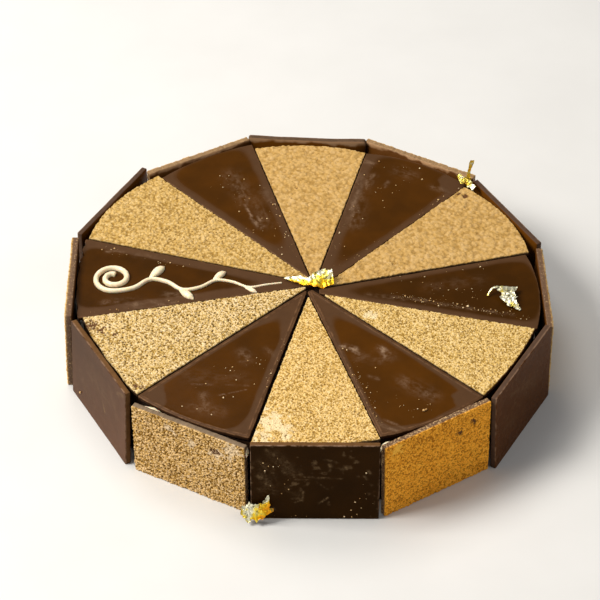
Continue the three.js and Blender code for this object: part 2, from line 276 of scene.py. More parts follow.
def lattice(outline, spacing, margin, seed, limit=math.inf):
    """Jittered points on a triangular lattice, over a margin inside a convex outline."""
    low, high = outline.min(axis=0), outline.max(axis=0)
    rows = np.arange(low[1], high[1], spacing * math.sqrt(0.75))
    columns = np.arange(low[0], high[0], spacing)
    x, y = np.meshgrid(columns, rows)
    x = x + (np.arange(len(rows)) % 2)[:, None] * spacing / 2
    random = np.random.default_rng(seed)
    jitter = random.uniform(-JITTER, JITTER, (x.size, 2)) * spacing
    points = np.column_stack([x.ravel(), y.ravel()]) + jitter
    inside = edge_distances(outline, points).min(axis=1)
    return points[(inside > margin) & (inside < limit)]


def triangulate(ring, inner):
    """Triangles over a ring and the points inside it. The ring's points are numbered first."""
    points = [Vector(p) for p in np.vstack([ring, inner])]
    faces, sources = geometry.delaunay_2d_cdt(points, [], [list(range(len(ring)))], 1, 1e-7)[2:4]
    return np.array([[sources[k][0] for k in face] for face in faces])


def ring_quads(first, second, count):
    """Quads between two rings of so many vertices, given each ring's first number."""
    k = np.arange(count)
    after = (k + 1) % count
    return np.column_stack([first + k, first + after, second + after, second + k])


def tube_faces(rings, count, first=0):
    """The faces of a closed tube of so many rings of so many vertices, capped at both ends."""
    faces = []
    for foot in range(first, first + (rings - 1) * count, count):
        faces.extend(ring_quads(foot, foot + count, count).tolist())
    faces.append(list(range(first, first + count))[::-1])
    last = first + (rings - 1) * count
    faces.append(list(range(last, last + count)))
    return faces


def eased(radius):
    """The steps of a rounded edge, from its wall to its top: how far in and how far down."""
    angles = np.radians((25, 50, 75, 90))
    return [(radius * (1 - math.cos(angle)), radius * (1 - math.sin(angle))) for angle in angles]


def add_object(name, data):
    """A new object in the scene."""
    item = bpy.data.objects.new(name, data)
    bpy.context.scene.collection.objects.link(item)
    return item


def add_mesh(name, points, faces, material, attributes=None, layout=None):
    """A smooth mesh object in metres, riding on the cake, with its own bake layout if given."""
    mesh = bpy.data.meshes.new(name)
    mesh.from_pydata(points.tolist(), [], faces)
    mesh.update()
    mesh.polygons.foreach_set("use_smooth", [True] * len(mesh.polygons))
    for key, values in (attributes or {}).items():
        layer = mesh.attributes.new(key, "FLOAT", "POINT")
        layer.data.foreach_set("value", np.asarray(values, np.float32))
    if layout is not None:
        mesh.uv_layers.new(name="OFBake").data.foreach_set("uv", layout.ravel())
    mesh.materials.append(material)
    piece = add_object(name, mesh)
    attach(piece, BODY)
    return piece


# A plate's bake layout in the unit square: how far it keeps from the sides, and the foot and
# height of the bands that its back, its wall and its face take up.
BAKE_MARGIN = 0.01
BAKE_WIDTH = 1 - 2 * BAKE_MARGIN
BACK_BAND = (0.01, 0.06)
WALL_BAND = (0.08, 0.045)
FACE_BAND = (0.14, 0.84)


def wall_layout(heights, count):
    """The bake layout of a wall between rings: one long strip."""
    foot, height = WALL_BAND
    shares = (heights - heights[0]) / (heights[-1] - heights[0])
    left = np.arange(count) / count * BAKE_WIDTH + BAKE_MARGIN
    right = left + BAKE_WIDTH / count
    quads = []
    for low, high in zip(foot + height * shares[:-1], foot + height * shares[1:]):
        columns = [(left, low), (right, low), (right, high), (left, high)]
        quads.append(np.stack([np.column_stack([u, np.full(count, v)]) for u, v in columns], axis=1))
    return np.concatenate(quads).reshape(-1, 2)


def face_layout(xy, triangles, band):
    """The bake layout of a flat face: as it is, in a band of the square."""
    foot, height = band
    low, size = xy.min(axis=0), np.ptp(xy, axis=0)
    scale = min(BAKE_WIDTH / size[0], height / size[1])
    return (xy[triangles].reshape(-1, 2) - low) * scale + [BAKE_MARGIN, foot]


# The rings of a plate's wall: the first two ease its back, the next lie at these shares of
# its depth, and the last ones round its rim. The weights are how much of the face's relief
# each ring takes, from the back to the front.
WALL_SHARES = (0.35, 0.7)
LEVEL_WEIGHTS = (0, 0, 0, 0.1, 0.35, 0.6, 0.8, 0.95, 1)


def build_plate(plate, kind, material):
    """Meshes one plate: back, eased wall, rounded rim and relief on its face."""
    style = STYLES[kind]
    base, normals, room = rounded(plate.outline, CORNER_ROUND, style["edge_spacing"])
    count = len(base)
    ring = base + normals * CORNER_ROUND
    swing = style["wander"] * (smooth_noise(ring, style["wander_pitch"], plate.seed) - 0.5)
    swing = swing * smooth_step(0.5, 3, room) - chipped(ring, plate.rows(CHIPS))
    depth, ease = plate.depth, EDGE_ROUND
    levels = [(ease * 0.6, 0), (0, ease * 0.6)]
    levels += [(0, depth * height) for height in WALL_SHARES] + [(0, depth - ease)]
    levels += [(inward, depth - below) for inward, below in eased(ease)]
    rings = [ring + normals * (swing - step)[:, None] for step, _ in levels]
    inner = style["inner"](plate)
    xy = np.vstack([*rings, inner])
    repeats = [count] * (len(levels) - 1) + [count + len(inner)]
    z = np.repeat([height for _, height in levels], repeats)
    share = np.repeat(LEVEL_WEIGHTS, repeats)
    lift, attributes = style["surface"](plate, xy, share)
    attributes["back"] = np.repeat([1.0, 0.0], [count, len(xy) - count])
    walls = [ring_quads(k * count, (k + 1) * count, count) for k in range(len(levels) - 1)]
    front = triangulate(rings[-1], inner) + (len(levels) - 1) * count
    back = triangulate(rings[0], np.empty((0, 2)))[:, ::-1]
    faces = np.concatenate(walls).tolist() + front.tolist() + back.tolist()
    layout = np.vstack([
        wall_layout(np.array([height - inward for inward, height in levels]), count),
        face_layout(xy, front, FACE_BAND),
        face_layout(xy, back, BACK_BAND),
    ])
    local = np.column_stack([xy, z + lift])
    name = plate.node + "_plate"
    piece = add_mesh(name, plate.world(local), faces, material, attributes, layout)
    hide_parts(plate.node)
    return piece


def chipped(ring, chips):
    """How far a ring is pushed in, or out, round each chip: x, y, its radius and its depth."""
    push = np.zeros(len(ring))
    for x, y, radius, depth in chips:
        away = np.hypot(ring[:, 0] - x, ring[:, 1] - y)
        push += depth * (1 - smooth_step(0, radius, away))
    return push


# Chips in a plate's rim, and places where it bulges and closes a gap: x, y, radius and depth.
CHIPS = {
    "wedge_dark_09": (
        (-120, 13, 4, 0.4), (-119.4, 23.8, 3.4, 1.3), (-119.2, 28.8, 2.2, -0.4), (-118.7, 33, 2.2, 0.8),
        (-120, -2, 6, 0.3), (-118.6, -18, 4, 0.5),
    ),
    "wedge_crumbed_08": ((-110, -42, 13, -0.8), (-101, -58, 13, -0.9), (-90, -75, 12, -0.8)),
    "panel_dark_12": ((-31, 46, 20, -0.6), (31, 46, 20, -0.6)),
}


def smear_mark(xy, smears, seed):
    """How strongly smears lie at each point: soft strokes made of fine streaks."""
    mark = np.zeros(len(xy))
    for number, (x, y, end_x, end_y, width, strength) in enumerate(smears):
        start = np.array([x, y], float)
        run = [end_x, end_y] - start
        length = np.hypot(*run)
        run /= length
        along = (xy - start) @ run
        across = (xy - start) @ [-run[1], run[0]]
        past = np.maximum(np.maximum(-along, along - length), 0)
        soft = np.exp(-(across / width) ** 2 - (past / width) ** 2)
        streaks = cloud_noise(np.column_stack([along / 3.5, across]), 0.9, seed + number)
        blotch = cloud_noise(xy, 2.4, seed + 60 + number)
        torn = smooth_step(0.32, 0.68, 0.5 * streaks + 0.5 * blotch)
        mark = np.maximum(mark, strength * soft * torn)
    return mark


# Smears on the dark plates: the x and y of both ends in the plate's own plane, the half
# width and the strength.
SMEARS = {
    "wedge_dark_11": (
        (-34, 66, -30.5, 57, 0.8, 1), (-30, 55, -26, 46, 1.2, 0.8), (-27, 56, -24, 48, 0.9, 0.7),
        (-42, 92, -33, 70, 5, 0.25), (-24, 78, -22, 70, 3, 0.2), (-28, 70, -22, 50, 4, 0.2),
    ),
    "wedge_dark_01": (
        (27, 78, 23, 62, 1.6, 0.6), (35, 92, 31, 82, 2.4, 0.5), (24, 60, 22, 48, 1.2, 0.45),
        (41, 82, 44, 87, 1, 0.5), (28, 90, 24, 50, 5, 0.25), (50, 96, 56, 92, 4, 0.25),
        (30, 106, 35, 103, 2.2, 0.5), (68, 82, 74, 78, 2.4, 0.3),
    ),
    "wedge_dark_03": (
        (62, -2, 88, 4, 4, 0.12), (30, -8, 60, -13, 1.6, 0.25), (60, -13.5, 104, -24, 1.2, 0.3),
    ),
    "wedge_dark_05": (
        (47, -74, 60, -84, 4.2, 0.32), (17, -47, 23, -50, 1.5, 1.5), (22, -51, 26, -54, 1, 0.9),
        (36, -49, 38.5, -53, 1.8, 1.6), (38, -55, 35, -60, 1.2, 0.6), (26, -57, 40, -55, 4, 0.2),
        (33, -104, 42, -109, 0.8, 0.6), (36, -101, 46, -107, 0.7, 0.5), (30, -70, 34, -72, 1, 0.4),
    ),
    "wedge_dark_07": (
        (-33, -53, -31, -58, 3.2, 0.3), (-30, -58, -34, -60, 1.8, 0.22), (-52, -84, -50, -92, 2.4, 0.3),
        (-56, -92, -44, -96, 3.2, 0.3), (-21, -50, -19, -54, 2, 0.2), (-44, -84, -31, -80, 0.35, 0.6),
        (-24, -108, -21, -104, 1.6, 0.4), (-60, -70, -34, -72, 5, 0.1), (-58, -76, -30, -77, 0.5, 0.3),
    ),
    "wedge_dark_09": (
        (-92, -16, -70, -14, 2.6, 0.4), (-105, -14, -88, -12, 2.2, 0.25), (-74, -8, -60, -8, 2, 0.35),
        (-90, 24, -80, 22, 2.4, 0.2), (-106, 27, -98, 26, 1.2, 0.5),
    ),
    "panel_dark_06": (
        (-26, 36, -22, 24, 3.4, 0.35), (-20, 42, -10, 30, 3.6, 0.25), (-23, 45.5, -22.4, 45, 0.9, 1),
        (-20, 43, -19.4, 40, 0.8, 0.8), (-21, 34, -20.5, 33, 0.8, 0.8), (-27, 28.5, -26.2, 27.8, 1.3, 1),
        (-15.4, 32, -14.8, 31, 0.8, 0.9), (-7.4, 30.6, -6.8, 29.8, 0.9, 1), (7, 36, 7.4, 35, 0.9, 0.9),
        (14.6, 34.8, 15, 33.6, 0.8, 0.9), (4, 40, 8, 38.6, 0.5, 0.7), (-6, 28.2, 13, 26.9, 0.35, 1.1),
        (-10, 26, 5, 27, 0.3, 0.6), (0.5, 24.8, 6.2, 20, 0.35, 0.8), (-5.7, 18.6, -6.2, 12, 0.4, 0.9),
        (-10, 11, -6.4, 12.6, 0.3, 0.8), (1.9, 10.4, 6.2, 14.4, 0.4, 1), (-26, 20, -20, 18, 2, 0.3),
        (25.6, 32, 26.8, 30, 0.6, 1), (23.6, 28.6, 25, 26.6, 0.5, 1), (-14, 20, -8, 17, 2.2, 0.2),
    ),
    "panel_dark_08": (
        (-10, 30, 10, 26, 6, 0.2), (5, 21, 7.5, 16.5, 0.6, 1.4), (-20, 20, -12, 12, 3, 0.25),
        (16, 34, 20, 24, 3, 0.25), (22, 40, 28, 44, 1.2, 0.8),
    ),
    "panel_dark_04": ((0, 30, 12, 24, 5, 0.25), (-14, 36, -6, 33, 1.4, 0.5), (-20, 20, -10, 16, 4, 0.2)),
}

# The moulding haze along a dark plate's edges: its width, how widely it rounds the corners
# and how softly it ends, where the plate has no numbers of its own.
HAZE_WIDTH = 4.2
PANEL_HAZE = {"blend": 4.0, "softness": 1.0}
# The dark wedges by the hour: how wide the haze is along the anticlockwise cut, the
# clockwise one and the rim, its blend and softness, and how much lighter the middle is:
# painted light and shade for how the light falls on each wedge.
WEDGE_LOOKS = table("cuts rim blend softness shade", {
    1: ((5.0, 3.6), 0.4, 4.0, 1.8, 0.0),
    3: ((3.4, 3.0), 0.0, 4.0, 1.5, -0.45),
    5: ((3.6, 2.4), 2.4, 6.4, 0.8, 0.2),
    7: ((4.2, 2.6), 0.9, 6.0, 0.7, 0.0),
    9: ((6.0, 5.5), -0.6, 4.0, 1.2, -0.35),
    11: ((3.6, 4.6), 0.4, 4.0, 1.8, 0.0),
})
# A wedge's rim lies outside this radius, and its tip inside.
RIM_RADIUS = 100
# Hazy corners: x, y and radius.
HAZY_CORNERS = {
    "wedge_dark_05": ((84, -88, 14), (34, -115, 12)),
    "wedge_dark_07": ((-82, -84, 13), (-30, -114, 9)),
    "wedge_dark_01": ((82, 84, 12),),
    "wedge_dark_09": ((-117, -28, 8),),
}
# The dark panels by the hour: the kind of chocolate, how far blooming and painted sheen grey
# the whole face and how much more its border, how strongly faint scuffs are strewn over it,
# and how much more grey there is at its right edge and at its top than in its middle. On the
# eight o'clock panel the grey is mostly painted sheen, the light it reflects from the left.
PANEL_LOOKS = table("kind bloom border scuffs drift", {
    2: ("hidden", 0.4, 0.2, 0.3, (0, 0)),
    4: ("side", 0.3, 0.05, 0.3, (0, 0)),
    6: ("front", 0.0, 0.0, 0.75, (0, 0)),
    8: ("front", 0.66, 0.08, 0.2, (0.18, -0.2)),
    10: ("hidden", 0.5, 0.2, 0.3, (0, 0)),
    12: ("rear", 0.4, 0.2, 0.3, (0, 0)),
})
# Wedges whose cut edges have a fine moulded lip, and the lip's size.
LIPPED = (5, 7)
LIP = {"inset": 1.5, "half": 0.3, "height": 0.16}


def wedge_distances(plate, inside):
    """How far points lie inside a wedge's cuts and rim, moved so that one haze width fits all."""
    look = WEDGE_LOOKS[plate.hour]
    start, end = plate.outline, np.roll(plate.outline, -1, axis=0)
    near, far = np.sort([np.hypot(*start.T), np.hypot(*end.T)], axis=0)
    middle, centre = (start + end) / 2, plate.outline.mean(axis=0)
    ahead = centre[0] * middle[:, 1] - centre[1] * middle[:, 0] > 0
    cut = (near < RIM_RADIUS) & (far > RIM_RADIUS)
    sides = (cut & ahead, cut & ~ahead, near > RIM_RADIUS)
    widths = (*look["cuts"], look["rim"])
    return np.column_stack([
        inside[:, side].min(axis=1) + HAZE_WIDTH - own for side, own in zip(sides, widths)
    ])


def haze_border(plate, xy):
    """How hazy a dark plate is along its edges, 0 to 1."""
    inside = edge_distances(plate.outline, xy)
    if not plate.upright:
        inside = wedge_distances(plate, inside)
    look = PANEL_HAZE if plate.upright else WEDGE_LOOKS[plate.hour]
    blend, softness = look["blend"], look["softness"]
    soft = -blend * np.log(np.exp(-inside / blend).sum(axis=1))
    soft += 2.0 * (cloud_noise(xy, 15, plate.seed + 3) - 0.5)
    haze = 1 - smooth_step(HAZE_WIDTH - softness, HAZE_WIDTH + softness, soft)
    for x, y, radius in plate.rows(HAZY_CORNERS):
        away = np.hypot(xy[:, 0] - x, xy[:, 1] - y) + 5 * (cloud_noise(xy, 7, plate.seed + 4) - 0.5)
        haze = np.maximum(haze, 1 - smooth_step(radius - 1.5, radius + 0.5, away))
    return haze


def with_bloom_and_sheen(plate, xy, haze, smear):
    """A dark panel's haze, greyed by blooming and painted sheen, and its smears with faint scuffs strewn
    over them.
    """
    look = PANEL_LOOKS[plate.hour]
    half, height = plate.outline.max(axis=0)
    drift = (xy / [half, height / 2] - [0, 1]) @ look["drift"]
    scuffs = smooth_step(0.68, 0.8, cloud_noise(xy, 3.4, plate.seed + 13))
    scuffs = scuffs * cloud_noise(xy, 12, plate.seed + 14)
    return look["bloom"] + look["border"] * haze + drift, np.maximum(smear, look["scuffs"] * scuffs)


def dark_surface(plate, xy, share):
    """Moulded dark chocolate: nearly flat, with a hazy border, smears, painted light and shade, and a rim
    pale with wear and a painted highlight.
    """
    inside = edge_distances(plate.outline, xy).min(axis=1)
    haze = haze_border(plate, xy)
    smear = smear_mark(xy, plate.rows(SMEARS), plate.seed + 5)
    shade = 0.0
    if plate.upright:
        haze, smear = with_bloom_and_sheen(plate, xy, haze, smear)
    else:
        # Each wedge's middle is painted lighter or darker as the light falls on it: painted light and
        # shade.
        shade = WEDGE_LOOKS[plate.hour]["shade"]
    waves = 0.3 * (smooth_noise(xy, 45, plate.seed + 8) - 0.5)
    ripples = 0.03 * (cloud_noise(xy, 7, plate.seed + 9) - 0.5)
    lip = np.zeros(len(xy))
    if not plate.upright and plate.hour in LIPPED:
        lip = np.exp(-((inside - LIP["inset"]) / LIP["half"]) ** 2)
    # The edge mark is wear along the rim with a painted highlight on it, and painted highlight lines
    # along the lip.
    edge = np.maximum((1 - smooth_step(0.0, 0.5, inside)) * (share > 0.3), 0.8 * lip)
    lift = waves + ripples + LIP["height"] * lip
    marks = {"haze": haze, "smear": smear * share, "edge": edge, "face": share}
    return lift * share, {**marks, "shade": np.full(len(xy), shade)}


# The crumb coats, in millimetres: how closely they are meshed, the pitch of coarse and fine
# crumbs, the height of their relief, the pitch of the pits between them and of the specks of
# colour. "sound" is the share of pits that are filled, "contrast" how far the colours differ
# and "hollows" how light the pits are.
COATS = table("spacing coarse fine relief pit speck sound contrast hollows", {
    "soft": (0.42, 2.3, 1.4, 0.8, 2.6, 1.8, 0.6, 0.45, 1),
    "mild": (0.34, 1.6, 0.95, 0.85, 2.0, 1.05, 0.35, 0.72, 1),
    "fine": (0.3, 0.9, 0.55, 0.75, 1.4, 0.6, 0.95, 1.0, 1),
    "even": (0.3, 0.9, 0.55, 0.7, 1.5, 0.62, 0.25, 1.0, 1),
    "rough": (0.3, 1.0, 0.6, 0.95, 1.8, 0.65, -0.1, 1.25, 1),
    "dotted": (0.3, 0.9, 0.55, 0.8, 1.65, 0.62, -0.45, 1.1, 0.55),
})
# Places where the coat has worn off: x, y and radius.
BARE = {
    "wedge_crumbed_08": ((-111, -33, 4.2), (-105, -36, 2.6), (-98, -40, 1.6), (-84, -78, 2.0)),
    "wedge_crumbed_02": ((85, 73.5, 2.2), (81, 76, 1.4)),
    "wedge_crumbed_12": ((-9, 71, 1.1), (-2, 33, 1.0), (-6, 80, 0.9)),
    "panel_crumbed_07": ((15.5, 34, 2.6),),
    "panel_crumbed_05": ((13, 33, 2.6), (21, 37.5, 1.8)),
}
# Places where the coat is smeared flat and pale: x, y and radius.
SMEARED = {
    "wedge_crumbed_06": ((-19, -103, 7.5), (-22, -112, 7), (-13, -110, 5)),
    "wedge_crumbed_04": ((31, -24.4, 3.4),),
    "panel_crumbed_07": ((-10, 38, 3.6), (16, 33, 4), (24, 39, 5), (2, 34, 3)),
    "panel_crumbed_05": ((-24, 41, 3.5),),
}


def patches(xy, spots, seed):
    """Ragged round patches at x, y and radius, 0 to 1."""
    mark = np.zeros(len(xy))
    ragged = cloud_noise(xy, 2.4, seed) - 0.5
    for x, y, radius in spots:
        away = np.hypot(xy[:, 0] - x, xy[:, 1] - y) + 2.4 * radius * ragged
        mark = np.maximum(mark, 1 - smooth_step(0.6 * radius, radius, away))
    return mark


def coat_of(plate):
    return COATS[CRUMBED[plate.node]["coat"]]


def crumb_surface(plate, xy, share):
    """The crumb coat: crumbs of two sizes on uneven rubble, pits between them, bare places, and how low
    the ground lies, for painted shade.
    """
    coat = coat_of(plate)
    coarse, coarse_tone = grains(xy, coat["coarse"], plate.seed + 20, 0.34, 0.68)
    fine, fine_tone = grains(xy, coat["fine"], plate.seed + 24)
    rubble = smooth_step(0.2, 0.8, cloud_noise(xy, 1.2 * coat["coarse"], plate.seed + 28, 2))
    broad = cloud_noise(xy, 13, plate.seed + 30) - 0.5
    thinly = smooth_step(0.35, 0.65, cloud_noise(xy, 14, plate.seed + 36))
    hole, own = grains(xy, coat["pit"], plate.seed + 32, 0.18, 0.4)
    filled = coat["sound"] + 0.25 * (0.5 - thinly)
    # Pits are dented here and coloured dark later: the chocolate under the crumbs, and painted shade in
    # them.
    pit = smooth_step(0.3, 0.8, hole) * smooth_step(filled, filled + 0.5, own)
    bare = patches(xy, plate.rows(BARE), plate.seed + 40)
    bare = bare * (1 - 0.8 * smooth_step(0.6, 0.8, coarse))
    pale = 0.6 * patches(xy, plate.rows(SMEARED), plate.seed + 44)
    ground = (0.46 * coarse + 0.26 * fine + 0.3 * rubble) * (1 - 0.5 * pale)
    height = 0.08 + coat["relief"] * ground + 0.4 * broad - 0.5 * pit
    height = np.maximum(height, 0.04) * (1 - 0.8 * bare)
    coated = smooth_step(0.25, 0.75, share)
    tone = np.where(0.6 * coarse > 0.4 * fine, coarse_tone, fine_tone)
    tone = 0.5 + 0.85 * (tone - 0.5) + 0.1 * (rubble - 0.5) + 0.2 * broad
    # deep is painted shade: darkest where the crumb ground lies lowest.
    deep = (1 - smooth_step(0.12, 0.55, ground)) * (1 - pale)
    marks = {"tone": tone, "pit": pit, "bare": bare, "deep": deep, "pale": pale, "coat": coated}
    return height * coated, marks


def dark_points(plate):
    """Mesh points over a dark face, closer along its edges."""
    margin = EDGE_ROUND + RIM_GAP * EDGE_SPACING
    band = lattice(plate.outline, EDGE_SPACING, margin, plate.seed, EDGE_BAND)
    middle = lattice(plate.outline, DARK_SPACING, EDGE_BAND + 0.5 * DARK_SPACING, plate.seed + 1)
    return np.vstack([band, middle])


def crumbed_points(plate):
    """Mesh points over a crumbed face, fine enough for its grains."""
    margin = EDGE_ROUND + RIM_GAP * CRUMB_EDGE_SPACING
    return lattice(plate.outline, coat_of(plate)["spacing"], margin, plate.seed)


# How each kind of plate is meshed, and how far and how closely its edge wanders from a
# straight line.
STYLES = table("inner surface edge_spacing wander wander_pitch", {
    "dark": (dark_points, dark_surface, EDGE_SPACING, 0.2, 9),
    "crumbed": (crumbed_points, crumb_surface, CRUMB_EDGE_SPACING, 0.4, 1.1),
})


# ---- materials ----

class Nodes:
    """Short ways to add and join the nodes of one material."""

    def __init__(self, name):
        self.material = bpy.data.materials.new(name)
        self.material.use_nodes = True
        self.tree = self.material.node_tree
        self.shader = self.tree.nodes["Principled BSDF"]
        self.place = self.add("TexCoord").outputs["Object"]

    def add(self, kind, inputs=None, **settings):
        """A new node with these settings, and with these links or values for its inputs."""
        node = self.tree.nodes.new("ShaderNode" + kind)
        for key, value in settings.items():
            setattr(node, key, value)
        for key, value in (inputs or {}).items():
            self.join(value, node.inputs[key])
        return node

    def join(self, source, socket):
        """Links a socket to a source or a named attribute, or sets it to a number or colour."""
        if isinstance(source, str):
            source = self.add("Attribute", attribute_name=source).outputs["Fac"]
        if isinstance(source, bpy.types.NodeSocket):
            self.tree.links.new(source, socket)
        else:
            socket.default_value = (*source, 1) if isinstance(source, tuple) else source

    def noise(self, pitch, detail=3.0, roughness=0.55):
        """Noise with features about a pitch apart, in millimetres."""
        inputs = {"Vector": self.place, "Scale": 1 / (pitch * MM)}
        inputs.update({"Detail": detail, "Roughness": roughness})
        return self.add("TexNoise", inputs).outputs["Fac"]

    def cells(self, pitch):
        """A random grey for each cell about a pitch across, in millimetres."""
        cells = self.add("TexVoronoi", {"Vector": self.place, "Scale": 1 / (pitch * MM)})
        return self.add("SeparateColor", {0: cells.outputs["Color"]}).outputs[0]

    def maths(self, operation, a, b, clamp=False):
        return self.add("Math", {0: a, 1: b}, operation=operation, use_clamp=clamp).outputs[0]

    def spread(self, value, low, high, out_low=0.0, out_high=1.0):
        """Maps low..high to out_low..out_high."""
        inputs = {"Value": value, "From Min": low, "From Max": high}
        inputs.update({"To Min": out_low, "To Max": out_high})
        return self.add("MapRange", inputs).outputs["Result"]

    def patchy(self, pitch, detail, out_low=0.0, out_high=1.0, low=0.3, high=0.7):
        """Noise whose middling values, low..high, are spread from out_low to out_high."""
        return self.spread(self.noise(pitch, detail), low, high, out_low, out_high)

    def ramp(self, value, stops):
        """A colour ramp through (place, colour) stops."""
        node = self.add("ValToRGB", {"Fac": value})
        elements = node.color_ramp.elements
        while len(elements) < len(stops):
            elements.new(0.5)
        for element, (place, colour) in zip(elements, stops):
            element.position = place
            element.color = (*colour, 1)
        return node.outputs["Color"]

    def mix(self, share, a, b):
        """Colour a where share is 0 and colour b where it is 1."""
        node = self.add("Mix", data_type="RGBA")
        colours = [socket for socket in node.inputs if socket.type == "RGBA"]
        for value, socket in ((share, node.inputs[0]), (a, colours[0]), (b, colours[1])):
            self.join(value, socket)
        return next(socket for socket in node.outputs if socket.type == "RGBA")

    def bump(self, height, distance):
        """Fine relief of this height in millimetres."""
        node = self.add("Bump", {"Height": height, "Distance": distance * MM, "Strength": 1})
        self.join(node.outputs["Normal"], self.shader.inputs["Normal"])

    def set(self, **values):
        """Sets shader sockets by name, with _ for a space."""
        for key, value in values.items():
            self.join(value, self.shader.inputs[key.replace("_", " ")])
        return self.material


# Linear colours of dark chocolate: each kind's brown, haze, smear and edge. The panels'
# brown is the tops' chocolate painted darker as shade, and their haze is partly painted
# sheen; the edge is pale with wear and a painted highlight.
DARK_TOP = {
    "inner": (0.052, 0.018, 0.0012), "haze": (0.084, 0.039, 0.016), "smear": (0.24, 0.15, 0.09),
    "edge": (0.2, 0.1, 0.045),
}
DARK_SIDE = {
    "inner": (0.0225, 0.009, 0.0013), "haze": (0.125, 0.061, 0.034), "smear": (0.17, 0.105, 0.05),
    "edge": (0.24, 0.145, 0.09),
}
# The four o'clock panel's own copy of the side colours: its browner haze is painted, the shade where the
# warm light misses it.
COOL_SIDE = {**DARK_SIDE, "inner": (0.033, 0.0108, 0.0008), "haze": (0.19, 0.062, 0.013)}
# The plates' own walls and backs: red brown in the gaps. The backs are dark with painted shade low down
# and, on rear panels, lit to tan along the top by a painted band.
TOP_WALL = (0.06, 0.027, 0.0125)
FRONT_WALL = (0.155, 0.074, 0.027)
SIDE_WALL = (0.098, 0.056, 0.036)
REAR_WALL = (0.118, 0.07, 0.041)
STRIP_BROWN = (0.15, 0.08, 0.042)
STRIP_TAN = (0.33, 0.195, 0.088)
STRIP_GREY = (0.22, 0.15, 0.09)
BACK_SHADE = (0.105, 0.034, 0.003)
REAR_BACK = (0.3, 0.175, 0.09)
TAN_BACK = (0.46, 0.26, 0.125)
# The heights over which the backs turn from painted shade to the painted lit band, in millimetres.
LIT_BAND_FROM = 42.6
LIT_BAND_TO = 44.4


def tinted(colour, tint):
    """A colour times a tint, or times one number."""
    return tuple(min(c * t, 1.0) for c, t in zip(colour, np.ones(3) * tint))


def back_colour(n, lit_band):
    """A plate's back: painted shade below, and a painted lit band, uneven, along its upper edge."""
    height = n.add("SeparateXYZ", {0: n.place}).outputs["Z"]
    uneven = n.maths("ADD", height, n.patchy(9, 2, -0.0022, 0.0012))
    return n.mix(n.spread(uneven, LIT_BAND_FROM * MM, LIT_BAND_TO * MM), BACK_SHADE, lit_band)


def dark_material(name, colours, wall, back, specular):
    """Shiny dark chocolate, hazy along its border, pale where it is smeared, with painted light and shade
    and an edge pale with wear and a painted highlight.
    """
    n = Nodes(name)
    inner = colours["inner"]
    smear = n.maths("MULTIPLY", "smear", n.patchy(0.9, 4, 0.3, 1.2, high=0.62), True)
    edge = n.maths("MULTIPLY", "edge", n.patchy(3.5, 3, low=0.4, high=0.62), True)
    # The shade attribute paints each wedge's light and shade, and the noise mottles the brown.
    shade = n.maths("ADD", "shade", n.patchy(17, 4, 0.3, 0.8, low=0.35))
    mottled = n.mix(shade, tinted(inner, 0.75), tinted(inner, (1.5, 1.4, 1.2)))
    cloudy = n.mix(n.patchy(6, 5, high=0.75), colours["haze"], tinted(colours["haze"], 0.84))
    colour = n.mix("haze", mottled, cloudy)
    colour = n.mix(smear, colour, colours["smear"])
    side = n.mix(n.patchy(2.5, 4), wall, tinted(wall, 0.72))
    colour = n.mix(n.spread("face", 0.2, 0.5), side, colour)
    colour = n.mix(edge, colour, colours["edge"])
    colour = n.mix("back", colour, back_colour(n, back))
    dull = n.maths("MAXIMUM", n.maths("MULTIPLY", "haze", 0.5), smear)
    roughness = n.spread(n.maths("ADD", dull, n.patchy(4, 4, -0.05, 0.05)), 0, 1, 0.22, 0.55)
    n.bump(n.noise(0.9, 4), 0.012)
    return n.set(Base_Color=colour, Roughness=roughness, Specular_IOR_Level=specular)


# Linear colours of the crumb coat, from the darkest grain to the palest, and their mean.
CRUMB_TONES = (
    (0.05, (0.39, 0.2, 0.028)), (0.35, (0.585, 0.343, 0.098)),
    (0.62, (0.68, 0.43, 0.165)), (0.95, (0.735, 0.5, 0.25)),
)
CRUMB_MEAN = (0.59, 0.353, 0.118)
# CRUMB_SHADE is painted shade on the low ground between crumbs; PIT_BROWN is the chocolate under the
# crumbs with painted shade in the pits.
CRUMB_SHADE = (0.23, 0.106, 0.008)
CRUMB_SMEARED = (0.72, 0.55, 0.33)
PIT_BROWN = (0.155, 0.07, 0.007)
BARE_CHOCOLATE = (0.11, 0.046, 0.015)
WALL_DUST = (0.5, 0.32, 0.15)
# What each coat's colours are multiplied by. The five o'clock panel's warm tint is painted
# shade: the warm, saturated look of its side, which the light from the left misses.
CRUMB_TINTS = {
    "honey": (0.885, 0.895, 0.87), "straw": (0.925, 0.99, 0.98), "pale": (1.12, 1.26, 1.36),
    "cream": (1.17, 1.29, 1.38), "sandy": (1.11, 1.3, 1.68), "side": (1.1, 1.15, 1.3),
    "amber": (1.47, 1.04, 0.23),
}


def with_contrast(colour, contrast):
    """A crumb colour, drawn nearer to the coat's mean where the contrast is under 1."""
    return tuple(m + contrast * (c - m) for c, m in zip(colour, CRUMB_MEAN))


